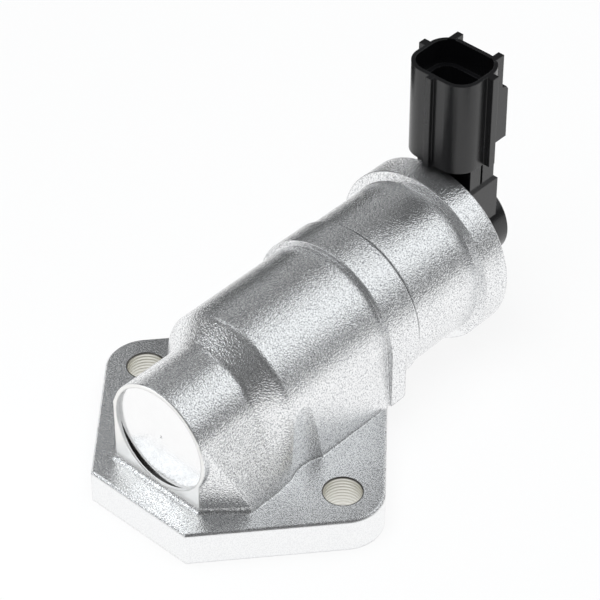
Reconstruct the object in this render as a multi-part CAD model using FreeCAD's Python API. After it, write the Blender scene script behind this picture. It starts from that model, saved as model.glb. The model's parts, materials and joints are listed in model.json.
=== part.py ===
import FreeCAD, Part
import math
import os

from FreeCAD import Vector

# Idle air control valve. All lengths are in millimetres.
# The origin lies on the mounting face, midway between the two bolt holes.
# +X runs along the line of bolts, +Y along the valve axis from the nose to the plug
# socket, and +Z out of the mounting face.

# Mounting flange
bolt_spacing = 62.0
bolt_hole_r = 4.5
flange_t = 8.8
flange_end_r = 9.6
flange_half_y = 33.7
flange_flat_half = 14.8
flange_edge_chamfer = 0.5
bolt_head_clear_r = 12.1

# Valve axis and the stepped outside of the casting, front to back
axis_z = 23.2
nose_front_y = -26.4
nose_r = 14.1
nose_draft_deg = 21.7
shoulder_front_y = -9.6
barrel_y = -3.9
barrel_r = 19.2
barrel_draft_deg = 3.5
collar_y = 28.2
collar_r = 20.7
collar_foot_y = 33.0
collar_foot_corner_r = 1.0
sleeve_y = 37.9
sleeve_r = 19.95
flare_y = 59.3
rim_y = 59.7
rim_r = 22.4
rim_rear_y = 67.3
step_chamfer = 0.4
sleeve_groove_w = 0.6
sleeve_groove_depth = 0.5

# The two cut-off front corners of the pedestal under the nose, and the soft edges
corner_right_x = 12.2
corner_left_x = 13.9
corner_side_x = 20.9
corner_side_y = -18.0
nose_edge_r = 0.3
shoulder_blend = 0.7
blend_steps = 4
front_foot_r = 1.6
foot_fillet_r = 0.5

# Air passages
front_chamber_r = 11.8
rear_chamber_r = 11.0
seat_front_y = -5.0
seat_rear_y = -1.0
chamber_rear_y = 19.5
seat_ring_r = 11.6
seat_bore_r = 7.0
seat_edge_chamfer = 0.6
port_half_x = 10.0
port_corner_r = 4.0
port_top_z = 17.0
front_port_y = (-21.0, -8.0)
rear_port_y = (3.0, 17.0)

# Plug that closes the nose
plug_r = 13.1
plug_recess = 1.0
plug_t = 1.6
plug_boss_r = 4.6
plug_boss_rear_y = -15.0
plug_dimple_r = 0.4

# Stem and its two bushes
stem_r = 2.0
stem_fit = 0.05
stem_front_y = -21.6
stem_rear_y = 41.0
front_bush_r = 3.3
front_bush_y = (-22.2, -15.2)
rear_bush_r = 5.0
rear_bush_flange_r = 6.2
rear_bush_flange_t = 1.2
rear_bush_front_y = 20.2

# Poppet and the clip that holds it on the stem
stroke = 4.0
poppet_r = 9.0
poppet_seat_gap = 0.3
poppet_lip = 0.8
poppet_rear_y = 6.0
poppet_hub_r = 4.2
metering_front_y = -4.4
metering_front_r = 4.9
metering_rear_r = 6.4
clip_r = 3.8
clip_t = 0.8
clip_mouth = 2.6
clip_groove_r = 1.6

# Solenoid
solenoid_front_y = 30.0
solenoid_rear_y = 60.0
solenoid_bore_r = 17.0
yoke_r = 16.9
yoke_wall = 1.5
plate_t = 3.0
plate_fit = 0.05
tube_r = 6.75
tube_bore_r = 6.35
tube_front_y = 31.3
armature_r = 6.3
armature_y = (32.2, 45.2)
armature_edge = 0.4
pole_gap = 0.3
bobbin_r = 15.1
bobbin_bore_r = 6.8
bobbin_hub_r = 7.9
bobbin_flange_t = 1.7
coil_r = 14.4
coil_gap = 0.05
pole_bore_r = 3.2

# Return spring
spring_r = 2.7
spring_wire_r = 0.35
spring_coils = 8
spring_pocket = 3.0
spring_pocket_r = 3.1
spring_end_gap = 0.05

# Connector cap moulding
cap_bore_r = 20.3
cap_fit = 0.05
cap_front_y = 61.6
cap_rear_y = 66.4
rim_lip_r = 19.6
cap_spigot_r = 14.0
cap_spigot_gap = 0.05
cap_seal_r = 0.9
cap_groove_w = 1.9
boss_r = 10.4
boss_rear_y = 82.6
boss_edge_r = 0.8
boss_ring_rs = (6.9, 8.1, 9.2)
boss_ring_w = 0.5
boss_ring_depth = 0.3

# Neck that carries the plug socket, its y sizes counted from the middle of the socket
neck_half_x = 8.6
neck_rear = 7.3
neck_base_top_z = 40.0
neck_top_half_x = 8.1
neck_top_front = 2.4
neck_top_rear = 6.2
neck_waist_z = 41.1
neck_foot_z = 26.0
neck_slot_back = 1.7
neck_slot_w = 0.7
neck_slot_depth = 1.4
neck_slot_z = (41.1, 46.8)

# Plug socket
socket_set_back = 4.5
socket_y = rim_rear_y + socket_set_back
socket_half_x = 9.4
socket_half_y = 7.8
socket_corner_r = 5.6
socket_wall = 1.0
socket_bottom_z = 48.2
socket_rim_z = 73.0
socket_ledge_z = 66.5
socket_ledge_w = 1.2
socket_floor_z = 52.0
side_rib_back = 1.5
side_rib_w = 2.0
side_rib_out = 1.7
front_rib_x = -0.3
front_rib_w = 1.6
front_rib_out = 1.1
front_rib_bottom_z = 47.6
rail_x = 6.1
rail_w = 1.7
rail_root = 5.6
rail_profile = ((9.35, 73.4), (9.35, 64.2), (10.8, 63.9), (11.5, 62.9), (11.6, 49.1))
tooth_half_x = 2.3
tooth_root = 6.8
tooth_profile = ((7.8, 66.5), (11.0, 60.5), (11.0, 58.0))

# Terminals
blade_x = 2.7
blade_w = 2.8
blade_t = 0.8
blade_tip_z = 62.0
blade_tip_taper = 1.2
blade_leg_z = 36.4
blade_front_y = 55.8
blade_fit = 0.05
notch_half_x = 4.6
notch_depth = 3.6

# Adjuster in the rear boss
adjuster_r = 3.4
adjuster_fit = 0.05
adjuster_front_y = 60.6
adjuster_recess = 0.4
adjuster_slot_w = 1.0
adjuster_slot_depth = 1.4
adjuster_pocket_r = 5.2
adjuster_pocket_depth = 3.6
adjuster_seal_y = 69.0
adjuster_seal_r = 0.7
adjuster_groove_w = 1.5

valve_axis = Vector(0, 1, 0)
axis_point = Vector(0, 0, axis_z)
up = Vector(0, 0, 1)


def turned(profile):
    """Revolve a closed profile of (y, radius) points about the valve axis."""
    points = [Vector(0, y, axis_z + r) for y, r in profile]
    face = Part.Face(Part.makePolygon(points + points[:1]))
    return face.revolve(axis_point, valve_axis, 360)


def ring(r_out, r_in, y0, y1):
    """A plain tube or washer about the valve axis."""
    return turned([(y0, r_in), (y1, r_in), (y1, r_out), (y0, r_out)])


def disc(r, y0, y1):
    """A solid cylinder about the valve axis."""
    return Part.makeCylinder(r, y1 - y0, Vector(0, y0, axis_z), valve_axis)


def torus(r_major, r_minor, y):
    """A round-section seal ring about the valve axis."""
    return Part.makeTorus(r_major, r_minor, Vector(0, y, axis_z), valve_axis)


def block(x0, x1, y0, y1, z0, z1):
    """A rectangular block between two opposite corners."""
    return Part.makeBox(x1 - x0, y1 - y0, z1 - z0, Vector(x0, y0, z0))


def upright(edges_of):
    """The straight edges of a solid that run along Z."""
    found = []
    for edge in edges_of.Edges:
        a = edge.Vertexes[0].Point
        b = edge.Vertexes[-1].Point
        if abs(a.x - b.x) < 1e-6 and abs(a.y - b.y) < 1e-6 and abs(a.z - b.z) > 1e-6:
            found.append(edge)
    return found


def rounded_block(half_x, half_y, centre_y, corner_r, z0, z1):
    """A block with its four upright edges rounded."""
    plain = block(-half_x, half_x, centre_y - half_y, centre_y + half_y, z0, z1)
    return plain.makeFillet(corner_r, upright(plain))


def tangent_point(outside, centre, radius, side):
    """Where the line from a point outside a circle touches it, on the given side."""
    dx = centre.x - outside.x
    dy = centre.y - outside.y
    distance = math.hypot(dx, dy)
    bearing = math.atan2(dy, dx)
    spread = math.asin(radius / distance)
    reach = math.sqrt(distance ** 2 - radius ** 2)
    angle = bearing + side * spread
    return Vector(outside.x + reach * math.cos(angle), outside.y + reach * math.sin(angle), 0)


def flange_face():
    """The six-sided outline whose two ends are rounded about the bolt holes."""
    half_bolt = bolt_spacing / 2
    a = flange_flat_half
    f = flange_half_y
    right = Vector(half_bolt, 0, 0)
    left = Vector(-half_bolt, 0, 0)
    right_low = tangent_point(Vector(a, -f, 0), right, flange_end_r, -1)
    right_high = tangent_point(Vector(a, f, 0), right, flange_end_r, 1)
    left_high = tangent_point(Vector(-a, f, 0), left, flange_end_r, -1)
    left_low = tangent_point(Vector(-a, -f, 0), left, flange_end_r, 1)
    right_end = Vector(half_bolt + flange_end_r, 0, 0)
    left_end = Vector(-half_bolt - flange_end_r, 0, 0)
    edges = [
        Part.LineSegment(Vector(-a, -f, 0), Vector(a, -f, 0)).toShape(),
        Part.LineSegment(Vector(a, -f, 0), right_low).toShape(),
        Part.Arc(right_low, right_end, right_high).toShape(),
        Part.LineSegment(right_high, Vector(a, f, 0)).toShape(),
        Part.LineSegment(Vector(a, f, 0), Vector(-a, f, 0)).toShape(),
        Part.LineSegment(Vector(-a, f, 0), left_high).toShape(),
        Part.Arc(left_high, left_end, left_low).toShape(),
        Part.LineSegment(left_low, Vector(-a, -f, 0)).toShape(),
    ]
    return Part.Face(Part.Wire(edges))


def flange():
    """The flange plate with its top edge chamfered."""
    plate = flange_face().extrude(up * flange_t)
    top_edges = [e for e in plate.Edges if all(abs(v.Z - flange_t) < 1e-6 for v in e.Vertexes)]
    return plate.makeChamfer(flange_edge_chamfer, top_edges)


def saddle_wire(radius, draft_deg, y):
    """A round top whose sides run down to the flange, leaning outwards by the draft."""
    draft = math.radians(draft_deg)
    foot_z = flange_t / 2
    touch_x = radius * math.cos(draft)
    touch_z = axis_z + radius * math.sin(draft)
    foot_x = (radius + (axis_z - foot_z) * math.sin(draft)) / math.cos(draft)
    right_foot = Vector(foot_x, y, foot_z)
    left_foot = Vector(-foot_x, y, foot_z)
    right_touch = Vector(touch_x, y, touch_z)
    left_touch = Vector(-touch_x, y, touch_z)
    crown = Vector(0, y, axis_z + radius)
    edges = [
        Part.LineSegment(left_foot, right_foot).toShape(),
        Part.LineSegment(right_foot, right_touch).toShape(),
        Part.Arc(right_touch, crown, left_touch).toShape(),
        Part.LineSegment(left_touch, left_foot).toShape(),
    ]
    return Part.Wire(edges)


def saddle(radius, draft_deg, y0, y1):
    """The saddle section carried straight along the valve axis."""
    return Part.Face(saddle_wire(radius, draft_deg, y0)).extrude(valve_axis * (y1 - y0))


def corner_cutter(side, front_x):
    """The wedge outside one cut-off front corner, which leaves the round nose whole."""
    run = (corner_side_x - front_x) / (corner_side_y - nose_front_y)
    before = 1.0
    beyond = 2 * (corner_side_y - nose_front_y)
    plan = Part.makePolygon([
        Vector(side * (front_x - run * before), nose_front_y - before, 0),
        Vector(side * (front_x + run * beyond), nose_front_y + beyond, 0),
        Vector(side * (front_x + run * beyond), nose_front_y - before, 0),
        Vector(side * (front_x - run * before), nose_front_y - before, 0),
    ])
    return Part.Face(plan).extrude(up * (axis_z + 2 * nose_r))


def edges_on_front(solid, highest_only):
    """The edges of a solid in the plane of the nose face, or only those round its top."""
    found = []
    for edge in solid.Edges:
        middle = edge.valueAt((edge.FirstParameter + edge.LastParameter) / 2)
        ends = [vertex.Point for vertex in edge.Vertexes]
        in_plane = all(abs(p.y - nose_front_y) < 1e-6 for p in ends + [middle])
        if in_plane and (middle.z > axis_z or not highest_only):
            found.append(edge)
    return found


def nose():
    """The round nose on its sloping pedestal, its rim rounded and both corners cut off."""
    body = saddle(nose_r, nose_draft_deg, nose_front_y, shoulder_front_y - shoulder_blend)
    body = body.makeFillet(nose_edge_r, edges_on_front(body, True))
    for side, front_x in ((1, corner_right_x), (-1, corner_left_x)):
        body = body.cut(corner_cutter(side, front_x))
    barrel = disc(nose_r, nose_front_y, shoulder_front_y - shoulder_blend)
    barrel = barrel.makeFillet(nose_edge_r, edges_on_front(barrel, False))
    return body.fuse(barrel)


def shoulder_section(y, share):
    """The saddle section at one y, with its share of the way from nose to barrel."""
    radius = nose_r + share * (barrel_r - nose_r)
    draft_deg = nose_draft_deg + share * (barrel_draft_deg - nose_draft_deg)
    return saddle_wire(radius, draft_deg, y)


def blend_sections(corner_y, corner_share, slope_before, slope_after):
    """Sections along a parabola that is tangent to the slopes on both sides of a corner."""
    sections = []
    for step in range(blend_steps + 1):
        t = step / blend_steps
        y = corner_y + shoulder_blend * (2 * t - 1)
        before = -slope_before * shoulder_blend * (1 - t) ** 2
        after = slope_after * shoulder_blend * t ** 2
        sections.append(shoulder_section(y, corner_share + before + after))
    return sections


def shoulder():
    """The cone between nose and barrel, blended softly into both."""
    slope = 1 / (barrel_y - shoulder_front_y)
    front = blend_sections(shoulder_front_y, 0, 0, slope)
    rear = blend_sections(barrel_y, 1, slope, 0)
    return [
        Part.makeLoft(front, True, False),
        Part.makeLoft([front[-1], rear[0]], True, True),
        Part.makeLoft(rear, True, False),
    ]


def collar_foot():
    """The upright block under the collar, rounded where its underside turns up behind."""
    foot = block(-collar_r, collar_r, collar_y, collar_foot_y, flange_t, axis_z)
    rear_low = []
    for edge in foot.Edges:
        ends = [vertex.Point for vertex in edge.Vertexes]
        if all(abs(p.y - collar_foot_y) < 1e-6 and abs(p.z - flange_t) < 1e-6 for p in ends):
            rear_low.append(edge)
    return foot.makeFillet(collar_foot_corner_r, rear_low)


def port(y_range):
    """A rounded air port that runs up from the mounting face into the chamber."""
    centre = (y_range[0] + y_range[1]) / 2
    half_y = (y_range[1] - y_range[0]) / 2
    return rounded_block(port_half_x, half_y, centre, port_corner_r, -1, port_top_z)


def foot_edges(body, y0, y1):
    """The edges between two y at which the casting stands on the top of the flange."""
    found = []
    outline = flange_face().Wires[0]
    outline.translate(up * flange_t)
    for edge in body.Edges:
        middle = edge.valueAt((edge.FirstParameter + edge.LastParameter) / 2)
        heights = [vertex.Z for vertex in edge.Vertexes] + [middle.z]
        level = all(abs(z - flange_t) < 1e-4 for z in heights)
        inside = Part.Vertex(middle).distToShape(outline)[0] > 2 * flange_edge_chamfer
        along = y0 < middle.y < y1
        if level and inside and along:
            found.append(edge)
    return found


def valve_body():
    """The casting: flange, pedestal, nose, saddle barrel, stepped sleeve and rim."""
    groove_r = sleeve_r - sleeve_groove_depth
    groove_rear_y = sleeve_y + sleeve_groove_w
    barrel = saddle(barrel_r, barrel_draft_deg, barrel_y + shoulder_blend, collar_y)
    stepped = turned([
        (collar_y, 0), (collar_y, collar_r), (sleeve_y - step_chamfer, collar_r),
        (sleeve_y, collar_r - step_chamfer), (sleeve_y, groove_r), (groove_rear_y, groove_r),
        (groove_rear_y, sleeve_r), (flare_y, sleeve_r),
        (rim_y, rim_r), (rim_rear_y - step_chamfer, rim_r),
        (rim_rear_y, rim_r - step_chamfer), (rim_rear_y, 0),
    ])
    body = nose().fuse(shoulder() + [barrel, collar_foot(), stepped])
    for side in (-1, 1):
        clearance = Part.makeCylinder(
            bolt_head_clear_r, axis_z + barrel_r, Vector(side * bolt_spacing / 2, 0, flange_t))
        body = body.cut(clearance)
    body = body.fuse(flange()).removeSplitter()
    body = body.makeFillet(
        front_foot_r, foot_edges(body, nose_front_y - foot_fillet_r, corner_side_y))
    body = body.makeFillet(foot_fillet_r, foot_edges(body, corner_side_y, collar_y))
    reach = bolt_spacing
    band = block(-reach, reach, -flange_half_y, flange_half_y, 0, flange_t)
    body = body.cut(band.cut(flange_face().extrude(up * flange_t)))
    tools = [port(front_port_y), port(rear_port_y)]
    for side in (-1, 1):
        tools.append(Part.makeCylinder(
            bolt_hole_r, flange_t + 2, Vector(side * bolt_spacing / 2, 0, -1)))
    tools.append(disc(plug_r, nose_front_y - 1, nose_front_y + plug_recess + plug_t))
    tools.append(disc(front_chamber_r, nose_front_y, seat_front_y))
    tools.append(disc(seat_ring_r, seat_front_y, seat_rear_y))
    tools.append(disc(rear_chamber_r, seat_rear_y, chamber_rear_y))
    tools.append(disc(rear_bush_r, chamber_rear_y - 1, solenoid_front_y + 1))
    tools.append(disc(solenoid_bore_r, solenoid_front_y, cap_front_y))
    tools.append(disc(cap_bore_r, cap_front_y, cap_rear_y))
    tools.append(disc(rim_lip_r, cap_rear_y, rim_rear_y + 1))
    for tool in tools:
        body = body.cut(tool)
    return body


def end_plug():
    """The disc pressed into the nose, with the boss that holds the front bush."""
    face_y = nose_front_y + plug_recess
    plug = disc(plug_r, face_y, face_y + plug_t)
    plug = plug.fuse(disc(plug_boss_r, face_y + plug_t / 2, plug_boss_rear_y))
    plug = plug.cut(disc(front_bush_r, front_bush_y[0], plug_boss_rear_y + 1))
    return plug.cut(turned([
        (face_y - 1, 0), (face_y - 1, plug_dimple_r), (face_y, plug_dimple_r),
        (face_y + plug_dimple_r, 0),
    ]))


def seat_ring():
    """The ring the poppet closes against, with both bore edges chamfered."""
    c = seat_edge_chamfer
    return turned([
        (seat_front_y, seat_bore_r + c), (seat_front_y + c, seat_bore_r),
        (seat_rear_y - c, seat_bore_r), (seat_rear_y, seat_bore_r + c),
        (seat_rear_y, seat_ring_r), (seat_front_y, seat_ring_r),
    ])


def front_bush():
    """The bush in the plug."""
    return ring(front_bush_r, stem_r + stem_fit, front_bush_y[0], front_bush_y[1])


def rear_bush():
    """The flanged bush in the wall between the air chamber and the solenoid."""
    wall_y = solenoid_front_y
    bush = ring(rear_bush_r, stem_r + stem_fit, rear_bush_front_y, wall_y)
    flange_rear_y = wall_y + rear_bush_flange_t
    return bush.fuse(ring(rear_bush_flange_r, stem_r + stem_fit, wall_y, flange_rear_y))


def valve_stem():
    """The rod that carries the poppet and the armature, with a groove for the clip."""
    clip_rear_y = poppet_rear_y + clip_t
    tip = stem_r / 4
    return turned([
        (stem_front_y, 0), (stem_front_y, stem_r - tip), (stem_front_y + tip, stem_r),
        (poppet_rear_y, stem_r), (poppet_rear_y, clip_groove_r), (clip_rear_y, clip_groove_r),
        (clip_rear_y, stem_r), (stem_rear_y, stem_r), (stem_rear_y, 0),
    ])


def poppet():
    """The valve plate with its metering cone in front and its hub behind."""
    face_y = seat_rear_y + poppet_seat_gap
    return turned([
        (metering_front_y, stem_r), (metering_front_y, metering_front_r),
        (face_y, metering_rear_r), (face_y, poppet_r), (face_y + poppet_lip, poppet_r),
        (poppet_rear_y - poppet_lip, poppet_hub_r), (poppet_rear_y, poppet_hub_r),
        (poppet_rear_y, stem_r),
    ])


def poppet_clip():
    """The open clip that snaps into the groove of the stem behind the poppet."""
    clip = ring(clip_r, clip_groove_r, poppet_rear_y, poppet_rear_y + clip_t)
    half = clip_mouth / 2
    return clip.cut(block(
        -half, half, poppet_rear_y - 1, poppet_rear_y + clip_t + 1,
        axis_z - clip_r - 1, axis_z))


def armature():
    """The iron slug on the rear end of the stem, with the pocket for the spring."""
    front, rear = armature_y
    e = armature_edge
    return turned([
        (front, stem_r), (stem_rear_y, stem_r), (stem_rear_y, 0), (rear - spring_pocket, 0),
        (rear - spring_pocket, spring_pocket_r), (rear, spring_pocket_r),
        (rear, armature_r - e), (rear - e, armature_r), (front + e, armature_r),
        (front, armature_r - e),
    ])


def yoke_can():
    """The iron tube around the coil."""
    return ring(yoke_r, yoke_r - yoke_wall, solenoid_front_y, solenoid_rear_y)


def plate_r():
    """The outer radius of the two iron plates that close the ends of the yoke."""
    return yoke_r - yoke_wall - plate_fit


def front_flux_washer():
    """The iron washer that carries the field from the yoke to the armature."""
    return ring(plate_r(), tube_r + plate_fit, solenoid_front_y, solenoid_front_y + plate_t)


def guide_tube():
    """The brass tube in which the armature slides."""
    return ring(tube_r, tube_bore_r, tube_front_y, solenoid_rear_y - plate_t)


def terminal_slot(x, fit):
    """The space of one bent terminal, grown on every side by a fit."""
    x0 = x - blade_w / 2 - fit
    x1 = x + blade_w / 2 + fit
    rear_y = socket_y + blade_t / 2 + fit
    leg = block(
        x0, x1, blade_front_y - fit, rear_y, blade_leg_z - fit, blade_leg_z + blade_t + fit)
    upright_part = block(
        x0, x1, socket_y - blade_t / 2 - fit, rear_y, blade_leg_z - fit, blade_tip_z + fit)
    return leg.fuse(upright_part)


def bobbin_rear_y():
    """The rear face of the bobbin, just in front of the pole plate."""
    return solenoid_rear_y - plate_t - plate_fit


def bobbin():
    """The plastic spool, its rear flange slotted for the two terminals."""
    front = solenoid_front_y + plate_t + plate_fit
    rear = bobbin_rear_y()
    spool = turned([
        (front, bobbin_bore_r), (rear, bobbin_bore_r), (rear, bobbin_r),
        (rear - bobbin_flange_t, bobbin_r), (rear - bobbin_flange_t, bobbin_hub_r),
        (front + bobbin_flange_t, bobbin_hub_r), (front + bobbin_flange_t, bobbin_r),
        (front, bobbin_r),
    ])
    for x in (-blade_x, blade_x):
        spool = spool.cut(terminal_slot(x, blade_fit))
    return spool


def coil_winding():
    """The winding as one body, just clear of the bobbin."""
    front = solenoid_front_y + plate_t + plate_fit + bobbin_flange_t + coil_gap
    rear = bobbin_rear_y() - bobbin_flange_t - coil_gap
    return ring(coil_r, bobbin_hub_r + coil_gap, front, rear)


def pole_core():
    """The fixed iron core on its end plate, bored for the spring and notched on top."""
    face_y = armature_y[1] + stroke + pole_gap
    plate_y = solenoid_rear_y - plate_t
    core = turned([
        (face_y, pole_bore_r), (solenoid_rear_y, pole_bore_r),
        (solenoid_rear_y, plate_r()), (plate_y, plate_r()), (plate_y, armature_r),
        (face_y, armature_r),
    ])
    return core.cut(block(
        -notch_half_x, notch_half_x, plate_y - 1, solenoid_rear_y + 1,
        axis_z + plate_r() - notch_depth, axis_z + 2 * plate_r()))


def return_spring():
    """A round-wire coil spring between the armature and the adjuster screw."""
    front = armature_y[1] - spring_pocket + spring_end_gap + spring_wire_r
    rear = adjuster_front_y - spring_end_gap - spring_wire_r
    mean_r = spring_r - spring_wire_r
    path = Part.makeHelix((rear - front) / spring_coils, rear - front, mean_r)
    section = Part.Wire(Part.makeCircle(spring_wire_r, Vector(mean_r, 0, 0), valve_axis))
    coil = Part.Wire(path).makePipeShell([section], True, True)
    coil.rotate(Vector(0, 0, 0), Vector(1, 0, 0), -90)
    coil.translate(Vector(0, front, axis_z))
    return coil


def adjuster_screw():
    """The screw that sets the spring, slotted behind and grooved for its seal."""
    front = adjuster_front_y
    rear = boss_rear_y - adjuster_pocket_depth - adjuster_recess
    r = adjuster_r - adjuster_fit
    groove_r = adjuster_r - 2 * adjuster_seal_r
    half = adjuster_groove_w / 2
    screw = turned([
        (front, 0), (front, r), (adjuster_seal_y - half, r), (adjuster_seal_y - half, groove_r),
        (adjuster_seal_y + half, groove_r), (adjuster_seal_y + half, r), (rear, r), (rear, 0),
    ])
    return screw.cut(block(
        -r - 1, r + 1, rear - adjuster_slot_depth, rear + 1,
        axis_z - adjuster_slot_w / 2, axis_z + adjuster_slot_w / 2))


def adjuster_seal():
    """The seal ring around the adjuster."""
    return torus(adjuster_r - adjuster_seal_r, adjuster_seal_r, adjuster_seal_y)


def cap_groove_y():
    """The middle of the seal groove around the cap."""
    return (cap_front_y + cap_fit + cap_rear_y) / 2


def cap_seal():
    """The seal ring between the cap and the casting."""
    return torus(cap_bore_r - cap_seal_r, cap_seal_r, cap_groove_y())


def rectangle(half_x, y0, y1, z):
    """A level rectangle used as one end of a tapering block."""
    return Part.makePolygon([
        Vector(-half_x, y0, z), Vector(half_x, y0, z), Vector(half_x, y1, z),
        Vector(-half_x, y1, z), Vector(-half_x, y0, z),
    ])


def neck():
    """The neck between the boss and the socket, narrower above its sloping waist."""
    overlap = (cap_rear_y - cap_front_y) / 2
    front = cap_rear_y - overlap
    rear = socket_y + neck_rear
    top_front = socket_y - neck_top_front
    top_rear = socket_y + neck_top_rear
    base = block(-neck_half_x, neck_half_x, front, rear, neck_foot_z, neck_base_top_z)
    waist = Part.makeLoft([
        rectangle(neck_half_x, front, rear, neck_base_top_z),
        rectangle(neck_top_half_x, top_front, top_rear, neck_waist_z),
    ], True, True)
    top = block(
        -neck_top_half_x, neck_top_half_x, top_front, top_rear, neck_waist_z, socket_bottom_z)
    return base.fuse([waist, top])


def side_profile(profile, root, x_centre, half_x):
    """A rib whose outer (y, z) profile is closed by its root, both counted from the socket."""
    outline = [(root, profile[0][1])] + list(profile) + [(root, profile[-1][1])]
    wire = Part.makePolygon([
        Vector(x_centre - half_x, socket_y + y, z) for y, z in outline + outline[:1]])
    return Part.Face(wire).extrude(Vector(2 * half_x, 0, 0))


def socket_shell():
    """The outside of the plug socket with its ribs, rails and latch tooth, still solid."""
    shell = rounded_block(
        socket_half_x, socket_half_y, socket_y, socket_corner_r, socket_bottom_z, socket_rim_z)
    rib_y = socket_y + side_rib_back
    ribs = block(
        -socket_half_x - side_rib_out, socket_half_x + side_rib_out,
        rib_y - side_rib_w / 2, rib_y + side_rib_w / 2,
        socket_bottom_z, socket_rim_z)
    front_rib = block(
        front_rib_x - front_rib_w / 2, front_rib_x + front_rib_w / 2,
        socket_y - socket_half_y - front_rib_out, socket_y,
        front_rib_bottom_z, socket_rim_z)
    pieces = [ribs, front_rib]
    for x in (-rail_x, rail_x):
        pieces.append(side_profile(rail_profile, rail_root, x, rail_w / 2))
    pieces.append(side_profile(tooth_profile, tooth_root, 0, tooth_half_x))
    return shell.fuse(pieces)


def connector_cap():
    """The one black moulding: sealed flange, rear boss, neck and plug socket."""
    flange_r = cap_bore_r - cap_fit
    groove_r = cap_bore_r - 2 * cap_seal_r
    half = cap_groove_w / 2
    front = cap_front_y + cap_fit
    cap = turned([
        (solenoid_rear_y + cap_spigot_gap, 0), (solenoid_rear_y + cap_spigot_gap, cap_spigot_r),
        (front, cap_spigot_r), (front, flange_r), (cap_groove_y() - half, flange_r),
        (cap_groove_y() - half, groove_r), (cap_groove_y() + half, groove_r),
        (cap_groove_y() + half, flange_r), (cap_rear_y, flange_r), (cap_rear_y, 0),
    ])
    boss = turned([
        (cap_rear_y - 1, 0), (cap_rear_y - 1, boss_r), (boss_rear_y - boss_edge_r, boss_r),
        (boss_rear_y, boss_r - boss_edge_r), (boss_rear_y, 0),
    ])
    cap = cap.fuse([boss, neck(), socket_shell()]).removeSplitter()
    inner_half_x = socket_half_x - socket_wall
    inner_half_y = socket_half_y - socket_wall
    inner_corner = socket_corner_r - socket_wall
    slot_y = socket_y + neck_slot_back
    tools = [
        rounded_block(
            inner_half_x, inner_half_y, socket_y, inner_corner, socket_ledge_z,
            socket_rim_z + 1),
        rounded_block(
            inner_half_x - socket_ledge_w, inner_half_y - socket_ledge_w, socket_y,
            inner_corner - socket_ledge_w, socket_floor_z, socket_ledge_z + 1),
        disc(adjuster_r, solenoid_rear_y - 1, boss_rear_y + 1),
        disc(adjuster_pocket_r, boss_rear_y - adjuster_pocket_depth, boss_rear_y + 1),
        block(
            neck_top_half_x - neck_slot_depth, neck_half_x + 1,
            slot_y - neck_slot_w / 2, slot_y + neck_slot_w / 2,
            neck_slot_z[0], neck_slot_z[1]),
    ]
    for r in boss_ring_rs:
        tools.append(ring(
            r + boss_ring_w / 2, r - boss_ring_w / 2, boss_rear_y - boss_ring_depth,
            boss_rear_y + 1))
    for x in (-blade_x, blade_x):
        tools.append(terminal_slot(x, blade_fit))
    for tool in tools:
        cap = cap.cut(tool)
    return cap


def terminal(x):
    """A bent terminal with a bevelled tip."""
    strip = terminal_slot(x, 0)
    half_w = blade_w / 2
    for side in (-1, 1):
        edge_x = x + side * half_w
        corner = Part.makePolygon([
            Vector(edge_x, socket_y - blade_t, blade_tip_z - blade_tip_taper),
            Vector(edge_x, socket_y - blade_t, blade_tip_z),
            Vector(edge_x - side * blade_tip_taper / 2, socket_y - blade_t, blade_tip_z),
            Vector(edge_x, socket_y - blade_t, blade_tip_z - blade_tip_taper),
        ])
        strip = strip.cut(Part.Face(corner).extrude(Vector(0, 2 * blade_t, 0)))
    return strip


def terminal_a():
    """The terminal on the -X side."""
    return terminal(-blade_x)


def terminal_b():
    """The terminal on the +X side."""
    return terminal(blade_x)


parts = {
    "valve_body": valve_body,
    "end_plug": end_plug,
    "seat_ring": seat_ring,
    "front_bush": front_bush,
    "rear_bush": rear_bush,
    "valve_stem": valve_stem,
    "poppet": poppet,
    "poppet_clip": poppet_clip,
    "armature": armature,
    "yoke_can": yoke_can,
    "front_flux_washer": front_flux_washer,
    "guide_tube": guide_tube,
    "bobbin": bobbin,
    "coil_winding": coil_winding,
    "pole_core": pole_core,
    "return_spring": return_spring,
    "adjuster_screw": adjuster_screw,
    "adjuster_seal": adjuster_seal,
    "cap_seal": cap_seal,
    "connector_cap": connector_cap,
    "terminal_a": terminal_a,
    "terminal_b": terminal_b,
}


def main():
    os.makedirs("parts", exist_ok=True)
    for name, make in parts.items():
        shape = make()
        print(name, shape.isValid(), len(shape.Solids), round(shape.Volume, 1))
        shape.exportStep("parts/" + name + ".step")


main()
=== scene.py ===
# %% [markdown]
# # Idle air control valve: dressing a CAD frame in Blender
#
# The real object is a die-cast aluminium valve, as long as a hand is wide. Its thick flange
# bolts to the intake of an engine, a solenoid sits in the round sleeve, and a black plastic
# cap closes the rear end and carries the plug socket.
#
# The CAD model already has every solid in its true place and size, so this script keeps those
# solids and gives them what CAD can't: the grain of blasted metal, turned faces, moulded
# plastic, soft studio light and a camera that stands where the photographer stood.

import json
import math

import bpy
from mathutils import Matrix, Vector


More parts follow.
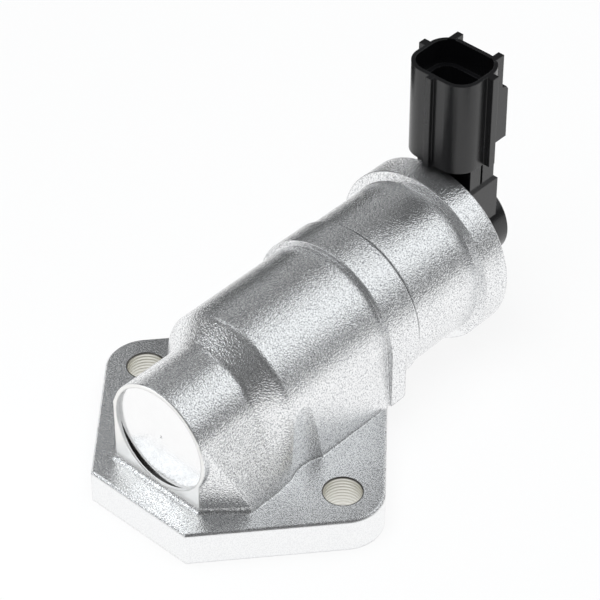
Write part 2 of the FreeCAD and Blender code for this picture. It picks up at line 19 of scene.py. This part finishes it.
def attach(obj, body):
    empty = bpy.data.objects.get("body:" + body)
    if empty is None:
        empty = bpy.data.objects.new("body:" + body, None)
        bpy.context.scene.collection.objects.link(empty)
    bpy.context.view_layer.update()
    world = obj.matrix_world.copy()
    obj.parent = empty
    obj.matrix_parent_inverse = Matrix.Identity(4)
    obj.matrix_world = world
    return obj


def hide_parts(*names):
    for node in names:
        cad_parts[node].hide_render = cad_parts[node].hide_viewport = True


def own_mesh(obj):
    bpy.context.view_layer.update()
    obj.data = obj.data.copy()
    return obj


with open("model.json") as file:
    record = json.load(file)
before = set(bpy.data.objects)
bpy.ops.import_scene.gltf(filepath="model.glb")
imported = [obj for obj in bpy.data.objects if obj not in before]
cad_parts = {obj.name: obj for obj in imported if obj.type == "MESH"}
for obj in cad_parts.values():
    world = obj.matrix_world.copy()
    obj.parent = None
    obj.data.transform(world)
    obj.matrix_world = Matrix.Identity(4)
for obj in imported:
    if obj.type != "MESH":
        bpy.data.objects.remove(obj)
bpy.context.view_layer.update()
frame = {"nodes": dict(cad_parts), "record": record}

# %% [markdown]
# ## Small tools for materials
#
# A Blender material is a graph of nodes. The graph could be clicked together by hand, but a
# short helper makes each graph read like a recipe: add a node with its settings, then join
# two sockets. All patterns read Object coordinates, which are metres here, so one unit of
# noise scale is one feature per metre and a 0.4 mm grain needs a scale of about 2500. Lengths
# in the code are metres too, and NEAR is the 0.1 mm within which two of them count as equal.

# %% Material helpers
NEAR = 0.0001


class Recipe:
    """One node material: nodes are added with `add` and joined with `join`."""

    def __init__(self, name):
        self.material = bpy.data.materials.new(name)
        self.material.use_nodes = True
        self.tree = self.material.node_tree
        self.tree.nodes.clear()
        self.shader = self.add("ShaderNodeBsdfPrincipled")
        out = self.add("ShaderNodeOutputMaterial")
        self.join(self.shader.outputs["BSDF"], out.inputs["Surface"])
        self.place = self.add("ShaderNodeTexCoord").outputs["Object"]

    def add(self, kind, inputs=None, **settings):
        """A node of that kind with its settings and the constant values of its inputs."""
        node = self.tree.nodes.new(kind)
        for key, value in settings.items():
            setattr(node, key, value)
        for key, value in (inputs or {}).items():
            node.inputs[key].default_value = value
        return node

    def join(self, source, target):
        self.tree.links.new(source, target)

    def noise(self, scale, detail=2.0, rough=0.5, stretch=None):
        """Noise with features of 1/scale metres, optionally stretched along an axis."""
        node = self.add(
            "ShaderNodeTexNoise", {"Scale": scale, "Detail": detail, "Roughness": rough})
        place = self.place
        if stretch is not None:
            mapping = self.add("ShaderNodeMapping")
            mapping.inputs["Scale"].default_value = stretch
            self.join(place, mapping.inputs["Vector"])
            place = mapping.outputs["Vector"]
        self.join(place, node.inputs["Vector"])
        return node.outputs["Fac"]

    def math(self, operation, a, b=None, clamp=False):
        """One arithmetic step on sockets or plain numbers; COMPARE allows NEAR."""
        node = self.add("ShaderNodeMath", operation=operation, use_clamp=clamp)
        node.inputs[2].default_value = NEAR
        for slot, value in enumerate((a, b)):
            if value is None:
                continue
            if isinstance(value, (int, float)):
                node.inputs[slot].default_value = value
            else:
                self.join(value, node.inputs[slot])
        return node.outputs[0]

    def spread(self, value, low, high, out_low, out_high):
        """Maps low..high of a value to out_low..out_high, and stops at both ends."""
        node = self.add("ShaderNodeMapRange", {
            "From Min": low, "From Max": high, "To Min": out_low, "To Max": out_high})
        self.join(value, node.inputs["Value"])
        return node.outputs["Result"]

    def blend_colours(self, factor, first, second):
        """Mixes two colours by a factor from 0 to 1; each is a colour or a socket."""
        node = self.add("ShaderNodeMix", data_type="RGBA")
        self.join(factor, node.inputs["Factor"])
        # Inputs 6 and 7 and output 2 are the node's colour sockets.
        for slot, colour in ((6, first), (7, second)):
            if isinstance(colour, tuple):
                node.inputs[slot].default_value = (*colour, 1.0)
            else:
                self.join(colour, node.inputs[slot])
        return node.outputs[2]

    def bump(self, height, distance, under=None):
        """Turns a height pattern into relief that is `distance` metres deep."""
        node = self.add("ShaderNodeBump", {"Distance": distance, "Strength": 1.0})
        self.join(height, node.inputs["Height"])
        if under is not None:
            self.join(under, node.inputs["Normal"])
        return node.outputs["Normal"]

    def soft_edges(self, radius):
        """Rounds the shading of sharp edges, as a tumbled or moulded edge is rounded."""
        return self.add("ShaderNodeBevel", {"Radius": radius}, samples=6).outputs["Normal"]

    def axes(self):
        """The x, y and z of the Object coordinates, in metres."""
        node = self.add("ShaderNodeSeparateXYZ")
        self.join(self.place, node.inputs[0])
        return node.outputs[0], node.outputs[1], node.outputs[2]

    def radius_about(self, first, second, centre):
        """The distance from an axis through `centre`, from two coordinates."""
        a = self.math("SUBTRACT", first, centre[0])
        b = self.math("SUBTRACT", second, centre[1])
        squares = self.math("ADD", self.math("MULTIPLY", a, a), self.math("MULTIPLY", b, b))
        return self.math("SQRT", squares)


# %% [markdown]
# ## The casting
#
# The body is aluminium, cast in a steel die and then shot-blasted, which leaves a fine, even
# grain that sparkles where a reflection changes from dark to bright. A picture of metal could
# carry that grain, but a bump pattern does it at any distance and under any light: one layer
# for the grain, one for small pits and one for the slow waves of the die wall. Blasted metal
# also scatters an eighth of the light evenly, so its darkest places stay grey, and that is
# what a metallic value of 0.88 does.
#
# The bolt holes, the mounting face and the turned front of the nose are cut afterwards, so
# there the grain gives way to a smooth cut with the rings of the drill. Masks made from the
# coordinates say where: a distance from an axis, a height, or a plane. The same masks place
# painted light and shade: a dark band just below the rim of each bolt hole, the wall of the
# nose plug's recess painted white so that it shows no shade, a crescent of painted shade low
# on the left of that wall, and painted shade in the groove behind the collar.

# %% Blasted cast aluminium
AXIS_Z = 0.0232
BOLT_X = 0.031
FLANGE_TOP = 0.0088
NOSE_FRONT_Y = -0.0264
PLUG_FACE_Y = -0.0254
RECESS_R = 0.0131
GROOVE_Y = (0.0379, 0.0385)
SLEEVE_R = 0.01995
HOLE_WALL_R = 0.0047
DRILL_FEED = 0.0009
LATHE_FEED = 0.00028
# The painted shade on the recess wall of the nose plug: the side it lies on and how far it
# reaches.
PAINTED_SHADE_SIDE = (-0.42, -0.91)
PAINTED_SHADE_REACH = 0.0006
PLATE_RIM_DROP = 0.0004
PLATE_RIM_SMOOTH = 0.85
BLASTED_SCATTER = 0.12
CUT_ROUGH = 0.30
# The near black of the painted shade in the recess and in the groove.
PAINTED_SHADE_BLACK = (0.012, 0.011, 0.010)


def painted_recess_masks(r, x, y, z, from_axis, in_plane):
    """The wall of the plug's recess, and its low left crescent, which gets painted shade."""
    on_lip = r.math("LESS_THAN", from_axis, RECESS_R + NEAR)
    before_plug = r.math("LESS_THAN", y, PLUG_FACE_Y + NEAR)
    wall = r.math("MULTIPLY", on_lip, before_plug)
    wall = r.math("MULTIPLY", wall, r.math("SUBTRACT", 1.0, in_plane))
    sideways = r.math("MULTIPLY", x, PAINTED_SHADE_SIDE[0] / RECESS_R)
    height = r.math("SUBTRACT", z, AXIS_Z)
    downwards = r.math("MULTIPLY", height, PAINTED_SHADE_SIDE[1] / RECESS_R)
    low_side = r.math("ADD", sideways, downwards)
    # The painted shade is widest on the low left of the wall and fades out towards the middle.
    crescent_reach = r.spread(low_side, 0.62, 1.0, 0.0, PAINTED_SHADE_REACH)
    depth = r.math("SUBTRACT", PLUG_FACE_Y, y)
    return wall, r.math("MULTIPLY", wall, r.math("LESS_THAN", depth, crescent_reach))


def cast_aluminium():
    """Blasted and cut metal; the recess wall is painted white, hollows get painted shade."""
    r = Recipe("cast_aluminium")
    x, y, z = r.axes()
    grain = r.noise(2500.0, detail=1.5, rough=0.6)
    speck = r.noise(3200.0, detail=1.0)
    pits = r.noise(1100.0, detail=2.0)
    waves = r.noise(170.0, detail=1.0)

    hole = r.radius_about(r.math("ABSOLUTE", x), y, (BOLT_X, 0.0))
    in_hole = r.math("LESS_THAN", hole, HOLE_WALL_R)
    below = r.math("LESS_THAN", z, NEAR)
    from_axis = r.radius_about(x, z, (0.0, AXIS_Z))
    in_plane = r.math("COMPARE", y, NOSE_FRONT_Y)
    faced = r.math("MULTIPLY", in_plane, r.math("GREATER_THAN", z, FLANGE_TOP))
    cut = r.math("MAXIMUM", r.math("MAXIMUM", in_hole, below), faced)
    rim_of_plate = r.math("LESS_THAN", z, FLANGE_TOP - PLATE_RIM_DROP)
    smooth = r.math("MAXIMUM", cut, r.math("MULTIPLY", rim_of_plate, PLATE_RIM_SMOOTH))
    cast = r.math("SUBTRACT", 1.0, smooth)
    wall, painted_crescent = painted_recess_masks(r, x, y, z, from_axis, in_plane)
    # Painted shade: the groove behind the collar is coloured near black.
    shaded_groove = r.math("MULTIPLY", r.math("GREATER_THAN", y, GROOVE_Y[0]),
                       r.math("LESS_THAN", y, GROOVE_Y[1]))
    shaded_groove = r.math("MULTIPLY", shaded_groove, r.math("LESS_THAN", from_axis, SLEEVE_R - NEAR))
    # The painted shade of the recess crescent and of the groove, in one mask.
    dark = r.math("MAXIMUM", painted_crescent, shaded_groove)

    turns = r.math("SINE", r.math("MULTIPLY", z, 2 * math.pi / DRILL_FEED))
    tint = r.math("MAXIMUM", r.spread(speck, 0.32, 0.50, 0.0, 1.0), smooth)
    bright = r.blend_colours(tint, (0.48, 0.49, 0.51), (0.975, 0.98, 0.985))
    metal = r.blend_colours(faced, bright, (0.94, 0.935, 0.92))
    cutter_line = r.spread(turns, -0.2, 0.9, 0.0, 1.0)
    bore = r.blend_colours(cutter_line, (0.90, 0.89, 0.84), (0.72, 0.71, 0.65))
    # Painted shade: a dark band just inside the top of each bolt hole.
    shaded_mouth = r.spread(z, FLANGE_TOP - 0.0007, FLANGE_TOP - 0.0003, 0.0, 1.0)
    bore = r.blend_colours(shaded_mouth, bore, (0.22, 0.21, 0.20))
    metal = r.blend_colours(in_hole, metal, bore)
    # Painted light: the recess wall is painted plain white so that it shows no shade.
    painted_white_wall = r.blend_colours(wall, metal, (0.90, 0.90, 0.90))
    colour = r.blend_colours(dark, painted_white_wall, PAINTED_SHADE_BLACK)
    r.join(colour, r.shader.inputs["Base Color"])
    # The wall painted white and the painted shade in the groove are not metal.
    painted_light_and_shade = r.math("MAXIMUM", wall, shaded_groove)
    scatter = r.math("MULTIPLY", cast, BLASTED_SCATTER)
    metallic = r.math("SUBTRACT", r.math("SUBTRACT", 1.0, scatter), painted_light_and_shade, clamp=True)
    r.join(metallic, r.shader.inputs["Metallic"])
    rough = r.spread(pits, 0.3, 0.7, 0.15, 0.22)
    on_cuts = r.math("MULTIPLY", smooth, CUT_ROUGH)
    rough = r.math("ADD", r.math("MULTIPLY", rough, cast), on_cuts)
    r.join(rough, r.shader.inputs["Roughness"])

    edges = r.soft_edges(0.0005)
    wavy = r.bump(r.math("MULTIPLY", waves, cast), 0.00008, edges)
    pitted = r.bump(r.math("MULTIPLY", pits, cast), 0.00003, wavy)
    grained = r.bump(r.math("MULTIPLY", grain, cast), 0.00013, pitted)
    ringed = r.bump(r.math("MULTIPLY", turns, in_hole), 0.00006, grained)
    r.join(ringed, r.shader.inputs["Normal"])
    return r.material


# %% Turned aluminium of the nose plug
def turned_aluminium():
    """Bright metal with the fine feed marks of a lathe around the valve axis."""
    r = Recipe("turned_aluminium")
    x, _, z = r.axes()
    radius = r.radius_about(x, z, (0.0, AXIS_Z))
    feed = r.math("SINE", r.math("MULTIPLY", radius, 2 * math.pi / LATHE_FEED))
    cloud = r.noise(300.0, detail=3.0)
    colour = r.blend_colours(cloud, (0.95, 0.95, 0.95), (1.0, 1.0, 1.0))
    r.join(colour, r.shader.inputs["Base Color"])
    r.join(r.spread(cloud, 0.3, 0.7, 0.14, 0.18), r.shader.inputs["Roughness"])
    r.shader.inputs["Metallic"].default_value = 1.0
    r.join(r.bump(feed, 0.0000012, r.soft_edges(0.0002)), r.shader.inputs["Normal"])
    return r.material


# %% [markdown]
# ## The black moulding
#
# The cap, the neck and the socket are one piece of glass-filled plastic. Such plastic is not
# quite black: the surface copies a lightly sparked mould, so it scatters a soft grey sheen.
# A dark base under a fairly glossy skin gives the sheen, faint flow marks vary it, and a very
# fine bump stands for the sparked texture.

# %% Glass-filled black plastic
def black_moulding():
    """Black plastic with faint upright flow marks and a sparked skin."""
    r = Recipe("black_moulding")
    flow = r.noise(120.0, detail=4.0, stretch=(1.0, 1.0, 0.25))
    spark = r.noise(3500.0, detail=2.0)
    r.join(
        r.blend_colours(flow, (0.0035, 0.0035, 0.004), (0.008, 0.008, 0.009)),
        r.shader.inputs["Base Color"])
    r.join(r.spread(flow, 0.3, 0.7, 0.20, 0.28), r.shader.inputs["Roughness"])
    r.shader.inputs["IOR"].default_value = 1.56
    r.join(r.bump(spark, 0.00001, r.soft_edges(0.00025)), r.shader.inputs["Normal"])
    return r.material


# %% [markdown]
# ## The small metals, the rubber and the winding
#
# Little of the inside is seen, and only through the two air ports, but each piece still gets
# the finish of its real stock: turned brass, ground steel, plated iron, tinned terminals,
# moulded rubber and enamelled copper. One function covers the metals, because they differ
# only in colour, roughness and the spacing of their turning marks.

# %% Turned and ground metals
def turned_metal(name, dark, light, rough, mark):
    """Metal with turning marks `mark` metres apart around the valve axis."""
    r = Recipe(name)
    _, y, _ = r.axes()
    lines = r.math("SINE", r.math("MULTIPLY", y, 2 * math.pi / mark))
    cloud = r.noise(400.0, detail=3.0)
    r.join(r.blend_colours(cloud, dark, light), r.shader.inputs["Base Color"])
    r.join(r.spread(cloud, 0.3, 0.7, rough - 0.05, rough + 0.07), r.shader.inputs["Roughness"])
    r.shader.inputs["Metallic"].default_value = 1.0
    r.join(r.bump(lines, 0.0000015, r.soft_edges(0.0001)), r.shader.inputs["Normal"])
    return r.material


# %% Rubber, spool plastic and enamelled wire
def plain_moulding(name, dark, light, rough):
    """Rubber or plastic with a soft mottling and a fine skin."""
    r = Recipe(name)
    cloud = r.noise(500.0, detail=3.0)
    skin = r.noise(4000.0)
    r.join(r.blend_colours(cloud, dark, light), r.shader.inputs["Base Color"])
    r.join(r.spread(cloud, 0.3, 0.7, rough - 0.06, rough + 0.06), r.shader.inputs["Roughness"])
    r.join(r.bump(skin, 0.000006), r.shader.inputs["Normal"])
    return r.material


WIRE_PITCH = 0.0003


def enamelled_wire():
    """Wire laid side by side along the axis: the relief is |sin(pi * y / pitch)|."""
    r = Recipe("enamelled_wire")
    _, y, _ = r.axes()
    turns = r.math("ABSOLUTE", r.math("SINE", r.math("MULTIPLY", y, math.pi / WIRE_PITCH)))
    cloud = r.noise(300.0, detail=2.0)
    r.join(
        r.blend_colours(cloud, (0.42, 0.13, 0.035), (0.58, 0.21, 0.06)),
        r.shader.inputs["Base Color"])
    r.join(r.spread(cloud, 0.3, 0.7, 0.25, 0.38), r.shader.inputs["Roughness"])
    r.shader.inputs["Metallic"].default_value = 1.0
    r.join(r.bump(turns, 0.00006), r.shader.inputs["Normal"])
    return r.material


# %% Give every node its finish
brass = turned_metal("turned_brass", (0.62, 0.42, 0.16), (0.76, 0.56, 0.25), 0.28, 0.00025)
steel = turned_metal("ground_steel", (0.52, 0.52, 0.53), (0.66, 0.66, 0.67), 0.25, 0.0002)
iron = turned_metal("plated_iron", (0.42, 0.43, 0.44), (0.55, 0.56, 0.57), 0.36, 0.0003)
tinned = turned_metal("tinned_brass", (0.62, 0.60, 0.55), (0.74, 0.72, 0.67), 0.30, 0.0006)
rubber = plain_moulding("soft_rubber", (0.012, 0.012, 0.012), (0.022, 0.022, 0.022), 0.6)
spool = plain_moulding("spool_plastic", (0.035, 0.035, 0.037), (0.055, 0.055, 0.058), 0.5)

finish_of_slot = {
    "body_aluminium": cast_aluminium(),
    "plug_aluminium": turned_aluminium(),
    "black_plastic": black_moulding(),
    "brass": brass,
    "steel": steel,
    "iron": iron,
    "terminal_plate": tinned,
    "seal_rubber": rubber,
    "bobbin_plastic": spool,
    "coil_wire": enamelled_wire(),
}
for part in frame["record"]["subparts"]:
    node = frame["nodes"][part["node"]]
    for slot in node.material_slots:
        slot.material = finish_of_slot[part["material_slot"]]
print("finishes:", sorted(m.name for m in finish_of_slot.values()))

# %% [markdown]
# ## The return spring
#
# The spring is one rigid solid in the simulation, so the armature would run into it when the
# plunger slides back. Here a copy of its mesh stands for it, fixed to the housing.

# %% Put a copy of the spring on the housing
solid_spring = frame["nodes"]["return_spring"]
coils = bpy.data.objects.new("return_spring_coils", solid_spring.data.copy())
bpy.context.scene.collection.objects.link(coils)
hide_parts("return_spring")
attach(coils, "housing")
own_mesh(coils)

# %% [markdown]
# ## The floor and the studio
#
# Bare metal shows its surroundings more than itself, so the surroundings are the lighting.
# Three things make the bands that run along the barrel: a white table gives the white of the
# flanks, a dark grey room gives the dark bands, and a wide softbox behind and above gives the
# bright band between them.
#
# The table could be a lamp, but a plain white plane also takes the soft shadow under the
# flange. The camera and mirrored rays see it as plain white, and rays that only carry light
# see white paint. Its reflection fades out to the right, where the pool of light ends, which
# draws the dark valley below the bright band.

# %% The white table
TABLE_SEEN = 0.85
POOL_EDGE_X = (0.15, 0.35)
POOL_LIGHT = (0.97, 0.25)


def table_finish():
    """Plain white for the camera and for reflections, white paint for the light itself."""
    r = Recipe("white_table")
    tooth = r.noise(60.0, detail=2.0)
    r.join(r.blend_colours(tooth, (0.88, 0.88, 0.88), (0.90, 0.90, 0.90)),
           r.shader.inputs["Base Color"])
    r.shader.inputs["Roughness"].default_value = 0.7
    glow = r.add("ShaderNodeEmission", {"Color": (1, 1, 1, 1), "Strength": 1.0})
    mix = r.add("ShaderNodeMixShader")
    path = r.add("ShaderNodeLightPath")
    mirrored = r.math(
        "MAXIMUM", path.outputs["Is Glossy Ray"], path.outputs["Is Transmission Ray"])
    seen = r.math("MULTIPLY", path.outputs["Is Camera Ray"], TABLE_SEEN)
    lit = r.spread(r.axes()[0], *POOL_EDGE_X, *POOL_LIGHT)
    r.join(r.math("MAXIMUM", seen, r.math("MULTIPLY", mirrored, lit)), mix.inputs["Fac"])
    r.join(r.shader.outputs["BSDF"], mix.inputs[1])
    r.join(glow.outputs["Emission"], mix.inputs[2])
    out = next(n for n in r.tree.nodes if n.type == "OUTPUT_MATERIAL")
    r.join(mix.outputs["Shader"], out.inputs["Surface"])
    return r.material


def sheet(name, corners, material):
    """A four-cornered sheet that belongs to the studio, not to the valve."""
    mesh = bpy.data.meshes.new(name)
    mesh.from_pydata(corners, [], [(0, 1, 2, 3)])
    mesh.materials.append(material)
    made = bpy.data.objects.new(name, mesh)
    bpy.context.scene.collection.objects.link(made)
    return made


TABLE_HALF = 3.0
sheet("white_table", [
    (-TABLE_HALF, -TABLE_HALF, 0), (TABLE_HALF, -TABLE_HALF, 0),
    (TABLE_HALF, TABLE_HALF, 0), (-TABLE_HALF, TABLE_HALF, 0)], table_finish())
print("table laid at z = 0")

# %% [markdown]
# ## Two flags
#
# A flag is a small dark sheet that a photographer holds beside shiny metal to give it a dark
# edge. The left one darkens the far side of the barrel and sleeve, but stands too far back
# for the nose, which keeps its white edge. The right one is grey and takes the glare off the
# flange beside the bolt hole. Changing the room would do both too, but it would change every
# other reflection with them.

# %% Stand the flags
# Each flag is its x, its range of y, its range of z and its grey.
LEFT_FLAG = (-0.075, (0.034, 0.114), (0.016, 0.060), 0.015)
RIGHT_FLAG = (0.061, (0.026, 0.062), (0.034, 0.052), 0.40)


def flag_finish(name, grey):
    """Matt cloth with a faint weave."""
    r = Recipe(name)
    weave = r.noise(900.0, detail=2.0)
    low, high = grey * 0.9, grey * 1.1
    r.join(r.blend_colours(weave, (low, low, low), (high, high, high)),
           r.shader.inputs["Base Color"])
    r.shader.inputs["Roughness"].default_value = 0.9
    return r.material


def flag(name, x, ys, zs, grey):
    """An upright sheet across X that only reflections can see."""
    corners = [(x, ys[0], zs[0]), (x, ys[1], zs[0]), (x, ys[1], zs[1]), (x, ys[0], zs[1])]
    made = sheet(name, corners, flag_finish(name, grey))
    made.visible_camera = False
    made.visible_diffuse = False
    made.visible_shadow = False
    print(name, "stands", abs(x), "m from the axis, grey", grey)


flag("left_flag", *LEFT_FLAG)
flag("right_flag", *RIGHT_FLAG)

# %% [markdown]
# ## The room
#
# The backdrop is white for the camera, where a strength of 1 is plain white. Mirrored rays
# see white too at the foot of the backdrop, where it meets the table, and above that a dark
# grey room that is darkest behind the camera. The foot stands a little higher on the left.

# %% Dark grey walls and a white foot
TOWARDS_CAMERA = (0.516, -0.557, 0.650)
FOOT_UPRIGHT = (0.06, 0.0, 1.0)
WALL_TURN = (0.86, 0.96)
WALL_GREY = (0.12, 0.05)
FOOT_EDGE = (-0.05, 0.03)


def room():
    """The backdrop and walls, as brightness by direction."""
    world = bpy.data.worlds.new("studio_room")
    world.use_nodes = True
    tree = world.node_tree
    tree.nodes.clear()

    def add(kind, **settings):
        node = tree.nodes.new(kind)
        for key, value in settings.items():
            setattr(node, key, value)
        return node

    def spread(source, low, high, at_low, at_high):
        node = add("ShaderNodeMapRange", interpolation_type="SMOOTHSTEP")
        for key, value in zip(("From Min", "From Max", "To Min", "To Max"),
                              (low, high, at_low, at_high)):
            node.inputs[key].default_value = value
        tree.links.new(source, node.inputs["Value"])
        return node.outputs["Result"]

    direction = add("ShaderNodeTexCoord").outputs["Generated"]
    height = add("ShaderNodeVectorMath", operation="DOT_PRODUCT")
    height.inputs[1].default_value = FOOT_UPRIGHT
    tree.links.new(direction, height.inputs[0])
    facing = add("ShaderNodeVectorMath", operation="DOT_PRODUCT")
    facing.inputs[1].default_value = TOWARDS_CAMERA
    tree.links.new(direction, facing.inputs[0])

    def combine(operation, a, b):
        node = add("ShaderNodeMath", operation=operation)
        tree.links.new(a, node.inputs[0])
        tree.links.new(b, node.inputs[1])
        return node.outputs[0]

    walls = spread(facing.outputs["Value"], *WALL_TURN, *WALL_GREY)
    foot = spread(height.outputs["Value"], *FOOT_EDGE, 1.0, 0.0)
    path = add("ShaderNodeLightPath")
    mirrored = combine(
        "MAXIMUM", path.outputs["Is Glossy Ray"], path.outputs["Is Transmission Ray"])
    white = combine("MAXIMUM", path.outputs["Is Camera Ray"], combine("MULTIPLY", foot, mirrored))
    backdrop = add("ShaderNodeBackground")
    backdrop.inputs["Color"].default_value = (1, 1, 1, 1)
    tree.links.new(combine("MAXIMUM", walls, white), backdrop.inputs["Strength"])
    out = add("ShaderNodeOutputWorld")
    tree.links.new(backdrop.outputs[0], out.inputs["Surface"])
    bpy.context.scene.world = world


room()
print("room: white for the camera, grey above a white foot in reflections")

# %% [markdown]
# ## The lamps
#
# Each lamp is placed by the direction in which some surface mirrors it. The softbox behind
# makes the bright band. A narrow strip on the left makes a faint line beside the dark band,
# and the box above on the left lights the small rounded edges of the steps, which turn
# through its direction. A card close to the foot of the nose brightens the flange in front of
# the pedestal. The fill is hidden from reflections: it lights the plastic and the table at a
# plain level, and casts the soft shadow.

# %% Hang the softboxes
DAYLIGHT = (0.96, 0.985, 1.0)
NOSE_FOOT = (0.0, -0.027, 0.015)


def softbox(name, direction, distance, size, strength, glossy=True, middle=(0, 0.025, 0.03)):
    """A rectangular lamp that looks at `middle` from `direction`."""
    data = bpy.data.lights.new(name, "AREA")
    data.color = DAYLIGHT
    data.shape = "RECTANGLE"
    data.size, data.size_y = size
    data.energy = strength
    lamp = bpy.data.objects.new(name, data)
    bpy.context.scene.collection.objects.link(lamp)
    aim = Vector(direction).normalized()
    lamp.location = Vector(middle) + aim * distance
    lamp.rotation_euler = aim.to_track_quat("Z", "Y").to_euler()
    lamp.visible_glossy = glossy
    lamp.visible_camera = False


softbox("softbox_back", (0.307, 0.649, 0.696), 1.6, (1.75, 1.5), 7.0)
softbox("strip_left", (-0.736, 0.557, 0.384), 1.6, (0.2, 1.2), 0.30)
softbox("top_left", (-0.50, 0.02, 0.86), 1.8, (0.6, 1.1), 1.8)
softbox("nose_card", (-0.52, -0.58, 0.62), 0.06, (0.05, 0.04), 0.009, middle=NOSE_FOOT)
softbox("fill_top", (0.1, -0.2, 1.0), 1.8, (1.8, 1.8), 34.0, glossy=False)

# %% [markdown]
# ## The camera
#
# The photograph was taken from above and in front, turned to the valve's left, with a long
# lens. The place of the camera was solved from the outline of the flange, the two bolt holes
# and the turned steps, so the numbers below are measured, not tuned by eye.

# %% The photographer's place
CAMERA_PLACE = Vector((0.31692, -0.32254, 0.43381))
CAMERA_AIM = Vector((-0.00908, 0.02947, 0.02307))
CAMERA_ROLL = math.radians(-0.208)
LENS_MM = 162.68


def photo_camera():
    """A long lens at the measured place, upright but for the measured roll."""
    data = bpy.data.cameras.new("photo_camera")
    data.sensor_width = 36.0
    data.lens = LENS_MM
    data.clip_start = 0.01
    data.clip_end = 20.0
    camera = bpy.data.objects.new("photo_camera", data)
    bpy.context.scene.collection.objects.link(camera)
    turn = (CAMERA_AIM - CAMERA_PLACE).to_track_quat("-Z", "Y").to_matrix().to_4x4()
    roll = Matrix.Rotation(CAMERA_ROLL, 4, "Z")
    camera.matrix_world = Matrix.Translation(CAMERA_PLACE) @ turn @ roll
    bpy.context.scene.camera = camera


photo_camera()
bpy.context.scene.view_settings.view_transform = "Standard"
